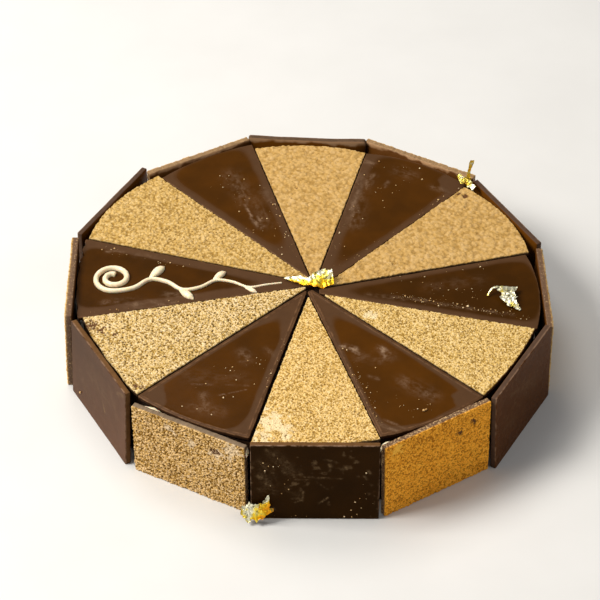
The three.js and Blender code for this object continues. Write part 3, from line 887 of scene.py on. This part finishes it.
def crumb_material(name, coat, tint, wall=TOP_WALL, back=BACK_SHADE, dust=0.5):
    """Cocoa crumbs, paler on their tops and brown in the hollows, where shade is painted, on a chocolate
    plate.
    """
    n = Nodes(name)
    coat, tint = COATS[coat], CRUMB_TINTS[tint]
    contrast = coat["contrast"]
    tone = n.maths("MULTIPLY", "tone", 0.5)
    speck = n.maths("MULTIPLY", n.cells(coat["speck"]), 0.5)
    tones = [(place, tinted(with_contrast(c, contrast), tint)) for place, c in CRUMB_TONES]
    colour = n.ramp(n.maths("ADD", tone, speck), tones)
    # Painted shade: the low ground and the pits between the crumbs darkened.
    deep = n.spread("deep", 0.1, 0.9, 0.0, 0.9 * contrast)
    colour = n.mix(deep, colour, tinted(CRUMB_SHADE, tint))
    colour = n.mix("pale", colour, tinted(CRUMB_SMEARED, tint))
    pit = n.maths("MULTIPLY", "pit", 0.9 * contrast)
    colour = n.mix(pit, colour, tinted(tinted(PIT_BROWN, coat["hollows"]), tint))
    colour = n.mix("bare", colour, BARE_CHOCOLATE)
    side = n.mix(n.patchy(3, 4), wall, tinted(wall, 0.7))
    dusted = n.spread(n.noise(0.9, 2, 0.7), 0.8 - 0.36 * dust, 0.86 - 0.36 * dust)
    side = n.mix(dusted, side, WALL_DUST)
    side = n.mix("back", side, back_colour(n, back))
    colour = n.mix("coat", side, colour)
    n.bump(n.noise(0.35, 3), 0.12)
    roughness = n.spread("coat", 0, 1, 0.5, 0.92)
    return n.set(Base_Color=colour, Roughness=roughness, Specular_IOR_Level=0.2)


def gold_material():
    """Bright crumpled gold leaf, deep yellow in places and silvery white in others, where glints are
    painted, with painted olive shade in its folds and dull places.
    """
    n = Nodes("gold_foil")
    # The pale marks are painted glints; the olive of the folds and dull places is painted shade.
    painted_glints = n.maths("ADD", "pale", n.patchy(2.8, 2, -0.35, 0.35))
    stops = [(0.0, (0.95, 0.4, 0.002)), (0.3, (1.0, 0.61, 0.012)), (0.55, (1.0, 0.8, 0.1))]
    colour = n.ramp(painted_glints, stops + [(0.85, (0.98, 0.94, 0.7))])
    crease_shade = n.patchy(1.9, 2, 0.0, 0.85, 0.54, 0.65)
    colour = n.mix(n.maths("MAXIMUM", crease_shade, "dull"), colour, (0.2, 0.17, 0.045))
    n.bump(n.noise(1.4, 3), 0.2)
    return n.set(Base_Color=colour, Metallic=0.75, Roughness=n.patchy(1.5, 3, 0.25, 0.5))


def white_material():
    """Piped white chocolate."""
    n = Nodes("white_chocolate_piped")
    colour = n.mix(n.patchy(4, 4), (0.86, 0.7, 0.44), (0.93, 0.8, 0.56))
    n.bump(n.noise(1.2, 3), 0.03)
    n.set(Subsurface_Weight=0.15, Subsurface_Scale=0.001)
    return n.set(Base_Color=colour, Roughness=n.patchy(2, 3, 0.22, 0.34))


def body_material():
    """The glazed cake inside, its dark glaze painted nearly black as shade in the slits."""
    n = Nodes("cake_glaze")
    colour = n.mix(n.patchy(9, 4), (0.012, 0.006, 0.003), (0.03, 0.014, 0.006))
    n.bump(n.noise(3, 4), 0.3)
    return n.set(Base_Color=colour, Roughness=n.patchy(5, 3, 0.35, 0.6), Specular_IOR_Level=0.1)


def glaze_material():
    """Soft pale glaze, a little browner in places, its paleness partly a painted highlight."""
    n = Nodes("pale_glaze")
    colour = n.mix(n.patchy(1.6, 3, low=0.35, high=0.65), (0.62, 0.52, 0.34), (0.8, 0.7, 0.48))
    n.bump(n.noise(0.8, 3), 0.05)
    return n.set(Base_Color=colour, Roughness=0.3, Subsurface_Weight=0.2, Subsurface_Scale=0.001)


def loose_crumb_material():
    """Single crumbs that lie on the chocolate."""
    n = Nodes("loose_crumbs")
    stops = [(0.1, (0.45, 0.24, 0.08)), (0.6, (0.68, 0.44, 0.19)), (0.95, (0.9, 0.7, 0.42))]
    n.bump(n.noise(0.3, 3), 0.08)
    return n.set(Base_Color=n.ramp("tone", stops), Roughness=0.9, Specular_IOR_Level=0.25)


def floor_material():
    """A plain pale studio floor."""
    n = Nodes("studio_floor")
    colour = n.mix(n.patchy(60, 3), (0.7, 0.69, 0.67), (0.73, 0.72, 0.7))
    return n.set(Base_Color=colour, Roughness=0.75, Specular_IOR_Level=0.2)


# ---- the pieces ----

# Each kind of dark chocolate: its colours, its wall, its back and how glossy it is.
DARK_KINDS = {
    "top": (DARK_TOP, TOP_WALL, BACK_SHADE, 0.06),
    "front": (DARK_SIDE, FRONT_WALL, BACK_SHADE, 0.02),
    "side": (COOL_SIDE, SIDE_WALL, BACK_SHADE, 0.02),
    "hidden": (DARK_SIDE, SIDE_WALL, BACK_SHADE, 0.02),
    "rear": (DARK_SIDE, REAR_WALL, REAR_BACK, 0.02),
}


def make_dark_plates():
    kinds = {kind: dark_material("dark_chocolate_" + kind, *look) for kind, look in DARK_KINDS.items()}
    for node in sorted(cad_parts):
        if "_dark_" in node:
            plate = Plate(node)
            material = kinds[PANEL_LOOKS[plate.hour]["kind"] if plate.upright else "top"]
            piece = build_plate(plate, "dark", material)


# The crumbed plates: the coat and its tint, and the plate's own walls and back and how dusty
# they are, where they aren't as crumb_material has them.
CRUMBED = table("coat tint wall back dust", {
    "wedge_crumbed_02": ("soft", "honey"),
    "wedge_crumbed_04": ("even", "pale"),
    "wedge_crumbed_06": ("even", "cream"),
    "wedge_crumbed_08": ("dotted", "sandy"),
    "wedge_crumbed_10": ("mild", "straw"),
    "wedge_crumbed_12": ("soft", "honey"),
    "panel_crumbed_01": ("even", "side", STRIP_TAN, TAN_BACK),
    "panel_crumbed_03": ("even", "side", STRIP_BROWN),
    "panel_crumbed_05": ("fine", "amber", STRIP_BROWN, BACK_SHADE, 0.75),
    "panel_crumbed_07": ("rough", "side", STRIP_GREY, BACK_SHADE, 0),
    "panel_crumbed_09": ("rough", "side", STRIP_BROWN, BACK_SHADE, 0.6),
    "panel_crumbed_11": ("even", "side", STRIP_TAN, TAN_BACK),
})


def make_crumbed_plates():
    materials = {}
    for node, finish in sorted(CRUMBED.items()):
        key = tuple(finish.values())
        if key not in materials:
            name = f"crumb_coat_{finish['tint']}_{len(materials)}"
            materials[key] = crumb_material(name, **finish)
        piece = build_plate(Plate(node), "crumbed", materials[key])


# The piped vine, in millimetres: the voxels that even it out, how often it is smoothed, and
# how far it is sunk into its wedge.
VINE = {"voxel": 0.3, "rounds": 6, "sunk": 0.1}


def make_vine():
    """The piped vine: the CAD form with its facets rounded away, set down on its wedge."""
    piece = add_object("piped_vine_chocolate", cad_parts["piped_vine"].data.copy())
    remesh = piece.modifiers.new("even", "REMESH")
    remesh.mode = "VOXEL"
    remesh.voxel_size = VINE["voxel"] * MM
    smooth = piece.modifiers.new("round", "SMOOTH")
    smooth.factor = 0.5
    smooth.iterations = VINE["rounds"]
    evaluated = piece.evaluated_get(bpy.context.evaluated_depsgraph_get())
    mesh = bpy.data.meshes.new_from_object(evaluated)
    piece.modifiers.clear()
    piece.data = mesh
    points = vertices(mesh)
    height = points[:, 2]
    sunk = VINE["sunk"] * MM
    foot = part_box("wedge_dark_09")[1].z - sunk
    low, high = height.min(), height.max()
    height[:] = foot + (height - low) * (high + sunk - foot) / (high - low)
    mesh.vertices.foreach_set("co", points.ravel())
    mesh.polygons.foreach_set("use_smooth", [True] * len(mesh.polygons))
    mesh.materials.clear()
    mesh.materials.append(white_material())
    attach(piece, BODY)
    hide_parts("piped_vine")


# The cake inside, in millimetres: how far it stays within its solid at its side and on top,
# how its upper edge is rounded, how far its side bulges, and over what height.
DRUM = {"side": 0.4, "top": 0.1, "rounded": 2, "bulge": 0.9, "pitch": 6}


def make_body():
    """The cake inside, as an uneven glazed drum."""
    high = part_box("cake_body")[1]
    radius = high.x / MM - DRUM["side"]
    top = high.z / MM - DRUM["top"]
    around = 360
    profile = [(radius, z) for z in np.linspace(0, top - DRUM["rounded"], 14)]
    profile += [(radius - inward, top - below) for inward, below in eased(DRUM["rounded"])]
    profile += [(radius * share, top) for share in (0.94, 0.86, 0.75, 0.6, 0.42, 0.22)]
    angles = np.linspace(0, 2 * math.pi, around, endpoint=False)
    circle = np.column_stack([np.cos(angles), np.sin(angles)])
    points = []
    for r, z in profile:
        lumps = smooth_noise(circle * 14 + [0, z / DRUM["pitch"]], 1, 5) - 0.5
        bulge = DRUM["bulge"] * lumps * (r > radius * 0.95)
        points.append(np.column_stack([circle * (r + bulge)[:, None], np.full(around, z)]))
    faces = tube_faces(len(profile), around)
    piece = add_mesh("cake_glazed", np.vstack(points) * MM, faces, body_material())
    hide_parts("cake_body")


# The leaf's thickness, and the length along which its folds are laid, in millimetres.
FOIL_THICKNESS = 0.08
FOIL_LENGTH = 22
# Gold leaf: each sheet follows a spine of points, in millimetres, with a half width at each
# and a bank, its angle from lying flat, in degrees. "pale" is how silvery it is along the
# spine, 0 to 1, as painted glints, "dull" how olive, as painted shade, and "slope" how much
# paler it gets towards its far edge.
FOILS = {
    "gold_leaf_centre": [
        dict(spine=((-12.8, 3.4, 45.4), (-7, 2.4, 45.6), (0.7, 0, 46.1), (7, 1, 47.2), (12.6, 1.4, 47.8)),
             half=(0.5, 1.9, 3, 4.8, 4.8), bank=(0, 10, 22, 32, 38),
             pale=(0.9, 0.75, 0.45, 0.5, 0.5), dull=(0, 0), slope=0.45),
    ],
    "gold_leaf_right": [
        dict(spine=((101.6, -5.6, 47.4), (102, -11.5, 46.8), (103.2, -15.6, 46), (105.8, -18.6, 45.2),
                    (107.8, -20.8, 44.4)),
             half=(4.7, 4, 2.8, 1.8, 0.4), bank=(-8, 0, 6, 10, 10),
             pale=(0.95, 0.9, 0.85, 0.8, 0.8), dull=(0.35, 0.1, 0, 0), slope=0.1),
        dict(spine=((100.4, -8.4, 45.9), (98, -6.8, 47.6), (95.4, -6.3, 47.4), (93.4, -7.2, 46.2),
                    (91.8, -9.7, 44.6)),
             half=(1.2, 0.9, 0.6, 0.5, 0.4), bank=(0, 0, 0, 0, 0),
             pale=(0.8, 0.9, 0.9, 0.8, 0.7), dull=(0.2, 0), slope=0),
    ],
    "gold_leaf_rear": [
        dict(spine=((81.4, 87.2, 48.2), (83.4, 83.6, 47.4), (85.8, 82, 47.4), (87.5, 80, 46.6),
                    (89.6, 77.8, 45.8)),
             half=(1.3, 2.2, 1.4, 1.7, 1.3), bank=(40, 44, 42, 40, 38),
             pale=(0.7, 0.5, 0.45, 0.7, 1.1), dull=(0.45, 0.6, 0.6, 0.4, 0), slope=0.2),
        dict(spine=((86.6, 82.6, 46.8), (87, 84.6, 52), (88.6, 85.6, 59)),
             half=(1.4, 1, 1.2), bank=(0, 0, 0),
             pale=(0.25, 0.45, 0.55), dull=(0.4, 0.2), slope=0),
    ],
    "gold_leaf_front": [
        dict(spine=((-33.2, -126, 7), (-29, -127.8, 7), (-23.5, -128.2, 8), (-17.4, -127.6, 8.2)),
             half=(2.6, 4.7, 3.9, 0.8), bank=(60, 66, 70, 70),
             pale=(0.6, 0.95, 0.35, 0), dull=(0.4, 0, 0, 0), slope=0.35),
        dict(spine=((-21.4, -128, 9), (-20.8, -128, 13.8), (-19.8, -127.6, 18.4)),
             half=(2.6, 1.6, 0.4), bank=(0, 0, 0),
             pale=(-0.2, 0.5, 1.1), dull=(0, 0), slope=-0.4),
    ],
}


def spline(points, t):
    """A Catmull-Rom curve through points, at shares t of its knots."""
    points = np.array(points, float)
    knots = np.vstack([2 * points[0] - points[1], points, 2 * points[-1] - points[-2]])
    place = t * (len(points) - 1)
    k = np.minimum(place.astype(int), len(points) - 2)
    f = (place - k)[:, None]
    a, b, c, d = (knots[k + m] for m in range(4))
    cubic = (3 * b - a - 3 * c + d) * f ** 3
    return 0.5 * (2 * b + (c - a) * f + (2 * a - 5 * b + 4 * c - d) * f * f + cubic)


def closed_sheet(along, across):
    """The faces of a thin closed sheet: its front and back grids and the rim between them."""
    count = along * across
    number = np.arange(count).reshape(along, across)
    corners = [number[:-1, :-1], number[:-1, 1:], number[1:, 1:], number[1:, :-1]]
    quads = np.stack(corners, axis=-1).reshape(-1, 4)
    rim = np.concatenate([number[:, 0], number[-1, 1:], number[-2::-1, -1], number[0, -2:0:-1]])
    after = np.roll(rim, -1)
    wall = np.column_stack([rim, after, after + count, rim + count])
    return np.vstack([quads[:, ::-1], quads + count, wall])


def foil_sheet(sheet, seed, along=72, across=26):
    """One crumpled sheet of leaf as a closed thin mesh: its points, faces and colour marks."""
    t = np.linspace(0, 1, along)
    centre = spline(sheet["spine"], t)
    tangent = unit(np.gradient(centre, axis=0))
    steep = np.abs(tangent[:, 2:]) > 0.8
    level = unit(np.where(steep, [1.0, 0, 0], np.cross([0, 0, 1.0], tangent)))
    bank = np.radians(evenly(sheet["bank"], t))[:, None]
    side = level * np.cos(bank) + np.cross(tangent, level) * np.sin(bank)
    v = np.linspace(-1, 1, across)
    grid = np.stack(np.meshgrid(t, v, indexing="ij"), axis=-1).reshape(-1, 2)
    width = np.repeat(evenly(sheet["half"], t), across)
    plane = np.column_stack([grid[:, 0] * FOIL_LENGTH, grid[:, 1] * width])
    sides = np.column_stack([plane[:, 0], np.sign(plane[:, 1]) * 9])
    ragged = 1 + 0.9 * (cloud_noise(sides, 2.2, seed) - 0.5)
    broad = np.abs(smooth_noise(plane, 2.2, seed + 3) - 0.5)
    fold = broad + 0.5 * np.abs(smooth_noise(plane, 1.0, seed + 4) - 0.5)
    lift = 1.5 * (fold - 0.3) * np.minimum(1, width / 2)
    base = np.repeat(centre, across, axis=0)
    base = base + np.repeat(side, across, axis=0) * (grid[:, 1] * width * ragged)[:, None]
    outer = np.repeat(np.cross(tangent, side), across, axis=0)
    proud = FOIL_THICKNESS / 2
    front, back = (base + outer * (lift + offset)[:, None] for offset in (proud, -proud))
    pale, dull = (np.repeat(evenly(sheet[key], t), across) for key in ("pale", "dull"))
    pale = pale + sheet["slope"] * grid[:, 1]
    marks = {"pale": np.tile(pale, 2), "dull": np.tile(dull, 2)}
    return np.vstack([front, back]), closed_sheet(along, across), marks


def make_foils():
    material = gold_material()
    for index, (node, sheets) in enumerate(FOILS.items()):
        points, faces, marks = [], [], []
        for number, sheet in enumerate(sheets):
            sheet_points, sheet_faces, sheet_marks = foil_sheet(sheet, 40 * index + 7 * number + 3)
            faces.extend((sheet_faces + sum(len(p) for p in points)).tolist())
            points.append(sheet_points)
            marks.append(sheet_marks)
        attributes = {key: np.concatenate([mark[key] for mark in marks]) for key in ("pale", "dull")}
        piece = add_mesh(node + "_foil", np.vstack(points) * MM, faces, material, attributes)
        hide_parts(node)


# Loose crumbs that lie on the dark plates: x, y and size, in millimetres.
BRIGHT_CRUMBS = {
    "wedge_dark_03": (
        (81.4, -17.5, 1.5), (78.8, -18.6, 1), (62, -13.2, 1.2), (49.5, -9.2, 1), (58, -14, 0.8),
    ),
    "wedge_dark_05": (
        (55.9, -95.1, 1.9), (57, -94.4, 1.4), (17, -49.9, 1.2), (19, -51, 1), (33, -64, 0.8),
    ),
    "wedge_dark_07": ((-42, -86, 1.2), (-36, -73, 0.9), (-62, -92, 0.8), (-27, -76, 0.7)),
    "wedge_dark_11": ((-19, 66, 1.2), (-22, 54, 1), (-14, 24, 1.2)),
    "wedge_dark_01": ((39, 104, 1.2), (61, 98, 1), (62, 88, 1.2), (70, 70, 1.5), (29, 54, 0.8)),
    "wedge_dark_09": ((-102, 29, 1), (-98, -20, 1), (-92, -22, 0.8)),
    "panel_dark_06": (
        (19.5, 11.7, 0.9), (17.6, 6.2, 0.9), (20.5, 3.4, 0.8), (14.3, 1.8, 1), (24.6, 31, 0.9),
    ),
    "panel_dark_08": ((-21, 7, 1.6),),
}
# Crumbs spilt along a line on a plate: the x and y of both ends, how far they stray and how
# many they are.
SPILLS = {
    "wedge_dark_01": ((30, 108, 10, 14, 2.5, 40), (80, 80, 20, 16, 2, 30), (40, 70, 44, 96, 8, 22)),
    "wedge_dark_03": ((44, -8.5, 112, -26, 1.6, 130), (40, 2, 100, 18, 3, 20), (60, -5, 95, -8, 4, 24)),
    "wedge_dark_05": (
        (21, -62, 34, -108, 2.4, 70), (26, -20, 84, -78, 1.4, 24), (40, -90, 60, -98, 4, 16),
    ),
    "wedge_dark_07": (
        (-12, -40, -26, -104, 1.2, 36), (-50, -70, -40, -100, 9, 14), (-24, -60, -40, -64, 4, 12),
    ),
    "wedge_dark_09": ((-112, -22, -50, -12, 1.6, 34), (-112, 30, -60, 14, 1.8, 26)),
    "wedge_dark_11": ((-46, 92, -16, 26, 5, 40), (-26, 104, -10, 30, 2, 40), (-70, 70, -18, 12, 2, 24)),
    "panel_dark_06": ((-26, 40, -12, 22, 5, 16), (-24, 1.5, 24, 1.5, 1, 12), (25, 30, 22, 4, 2, 6)),
}
# Spilt crumbs, in millimetres: the smallest size, the range above it, and how far they keep
# inside the edge. A crumb's middle is raised by this share of its size.
CRUMBS = {"smallest": 0.22, "range": 0.75, "margin": 0.8, "raised": 0.28}


def unit_lump(random):
    """A small rough lump: an icosahedron's twelve corners, pushed in and out."""
    golden = (1 + math.sqrt(5)) / 2
    corners = []
    for a in (-1, 1):
        for b in (-golden, golden):
            corners += [(0, a, b), (a, b, 0), (b, 0, a)]
    return unit(np.array(corners)) * random.uniform(0.7, 1.2, (len(corners), 1))


def lump_faces():
    """An icosahedron's faces: each three corners that are an edge's length from one another."""
    points = unit(unit_lump(np.random.default_rng(0)))
    longest_edge = 1.1
    faces = []
    for a, b, c in itertools.combinations(range(len(points)), 3):
        sides = points[[a, b, c]] - points[[b, c, a]]
        if np.linalg.norm(sides, axis=1).max() < longest_edge:
            turn = np.cross(points[b] - points[a], points[c] - points[a]) @ points[a]
            faces.append((a, b, c) if turn > 0 else (a, c, b))
    return np.array(faces)


def spilt(plate, random):
    """The places and sizes of a plate's loose crumbs."""
    places = list(plate.rows(BRIGHT_CRUMBS))
    for x, y, end_x, end_y, stray, count in plate.rows(SPILLS):
        share = random.uniform(0, 1, (count, 1))
        line = np.array([x, y]) * (1 - share) + np.array([end_x, end_y]) * share
        xy = line + random.normal(0, stray, (count, 2))
        inside = edge_distances(plate.outline, xy).min(axis=1) > CRUMBS["margin"]
        sizes = CRUMBS["smallest"] + CRUMBS["range"] * random.uniform(0, 1, count) ** 3
        places += [(x, y, size) for (x, y), size, kept in zip(xy, sizes, inside) if kept]
    return places


def make_crumbs():
    """All the loose crumbs, as one piece."""
    random = np.random.default_rng(12)
    faces_of_one = lump_faces()
    points, faces, tones = [], [], []
    for node in sorted(set(BRIGHT_CRUMBS) | set(SPILLS)):
        plate = Plate(node)
        for x, y, size in spilt(plate, random):
            lump = unit_lump(random) * size / 2 * [1, random.uniform(0.7, 1), 0.75]
            lump = lump + [x, y, plate.depth + CRUMBS["raised"] * size]
            faces.append(faces_of_one + len(lump) * len(points))
            points.append(plate.world(lump))
            tones.append(np.full(len(lump), random.uniform(0.1, 1)))
    points, faces = np.vstack(points), np.vstack(faces).tolist()
    tones = {"tone": np.concatenate(tones)}
    piece = add_mesh("loose_crumbs", points, faces, loose_crumb_material(), tones)


# Pale glaze that shows in the gaps, partly a painted highlight: a line of points, in millimetres, and its
# half widths.
GLAZE_TRACES = (
    (((-80.5, -89.6, 41.9), (-76, -92.4, 42.3), (-72, -94.4, 42)), (0.5, 1.0, 0.4)),
    (((33.6, -122.6, 42.4), (35.4, -119.4, 43.6), (37.6, -118, 44.4), (40.4, -117.6, 43.8)),
     (0.6, 0.9, 0.9, 0.4)),
    (((-30.2, -118.2, 42.4), (-30, -119.8, 40), (-30.2, -120.6, 37)), (0.8, 1.1, 0.6)),
)


def make_glaze_traces():
    """Soft strands of pale glaze, squeezed out between the chocolate and partly a painted highlight, as
    one piece.
    """
    along, around = 24, 12
    t = np.linspace(0, 1, along)
    turn = np.linspace(0, 2 * math.pi, around, endpoint=False)
    points, faces = [], []
    for number, (line, widths) in enumerate(GLAZE_TRACES):
        centre = spline(line, t)
        tangent = unit(np.gradient(centre, axis=0))
        side = unit(np.cross(tangent, [0.1, 0.2, 1.0]))
        lift = np.cross(side, tangent)
        half = evenly(widths, t) * np.sqrt(np.maximum(np.sin(math.pi * t), 0.02))
        for k in range(along):
            place = np.column_stack([turn, np.full(around, 0.3 * k)])
            lumps = 1 + 0.3 * (smooth_noise(place, 1, number) - 0.5)
            ring = side[k] * (np.cos(turn) * lumps * half[k])[:, None]
            points.append(centre[k] + ring + lift[k] * (np.sin(turn) * lumps * half[k] * 0.8)[:, None])
        faces += tube_faces(along, around, number * along * around)
    piece = add_mesh("glaze_traces", np.vstack(points) * MM, faces, glaze_material())


# ---- the studio ----

# The camera: its place in millimetres, how far it looks down in degrees, its lens and its
# sensor.
CAMERA = {"place": (-4.5, -952.3, 852.8), "elevation": 40.715, "lens": 145.09, "sensor": 36}
# Half the floor's width, in metres.
FLOOR_HALF = 3.0
# Soft lights: azimuth anticlockwise from +X, elevation, distance and size in metres, watts
# and colour.
LIGHTS = {
    "key_left": (188, 47, 1.7, 0.7, 34, (1.0, 0.97, 0.92)),
    "back_top": (118, 62, 1.6, 0.7, 9, (1.0, 0.96, 0.9)),
    "right_fill": (-38, 35, 1.9, 1.0, 4, (1.0, 0.97, 0.93)),
}
SKY = {"Color": (0.95, 0.97, 1.0, 1), "Strength": 0.22}


def make_camera():
    data = bpy.data.cameras.new("camera")
    data.lens = CAMERA["lens"]
    data.sensor_width = CAMERA["sensor"]
    data.clip_start = 0.05
    data.clip_end = 30
    camera = add_object("camera", data)
    camera.location = [c * MM for c in CAMERA["place"]]
    camera.rotation_euler = (math.radians(90 - CAMERA["elevation"]), 0, 0)
    bpy.context.scene.camera = camera


def make_floor():
    mesh = bpy.data.meshes.new("studio_floor")
    corners = [(x * FLOOR_HALF, y * FLOOR_HALF, 0) for x, y in ((-1, -1), (1, -1), (1, 1), (-1, 1))]
    mesh.from_pydata(corners, [], [(0, 1, 2, 3)])
    mesh.materials.append(floor_material())
    floor = add_object("studio_floor", mesh)


def softbox(name, azimuth, elevation, distance, size, watts, colour):
    """A square soft light that looks at the cake."""
    data = bpy.data.lights.new(name, "AREA")
    data.shape = "SQUARE"
    data.size = size
    data.energy = watts
    data.color = colour
    lamp = add_object(name, data)
    a, e = math.radians(azimuth), math.radians(elevation)
    towards = Vector((math.cos(a) * math.cos(e), math.sin(a) * math.cos(e), math.sin(e)))
    lamp.location = distance * towards
    lamp.rotation_euler = lamp.location.to_track_quat("Z", "Y").to_euler()


def make_lights():
    for name, light in LIGHTS.items():
        softbox(name, *light)
    world = bpy.data.worlds.new("studio")
    world.use_nodes = True
    for key, value in SKY.items():
        world.node_tree.nodes["Background"].inputs[key].default_value = value
    bpy.context.scene.world = world
    bpy.context.scene.view_settings.view_transform = "Standard"


make_camera()
make_lights()
make_floor()
make_body()
make_dark_plates()
make_crumbed_plates()
make_vine()
make_foils()
make_crumbs()
make_glaze_traces()
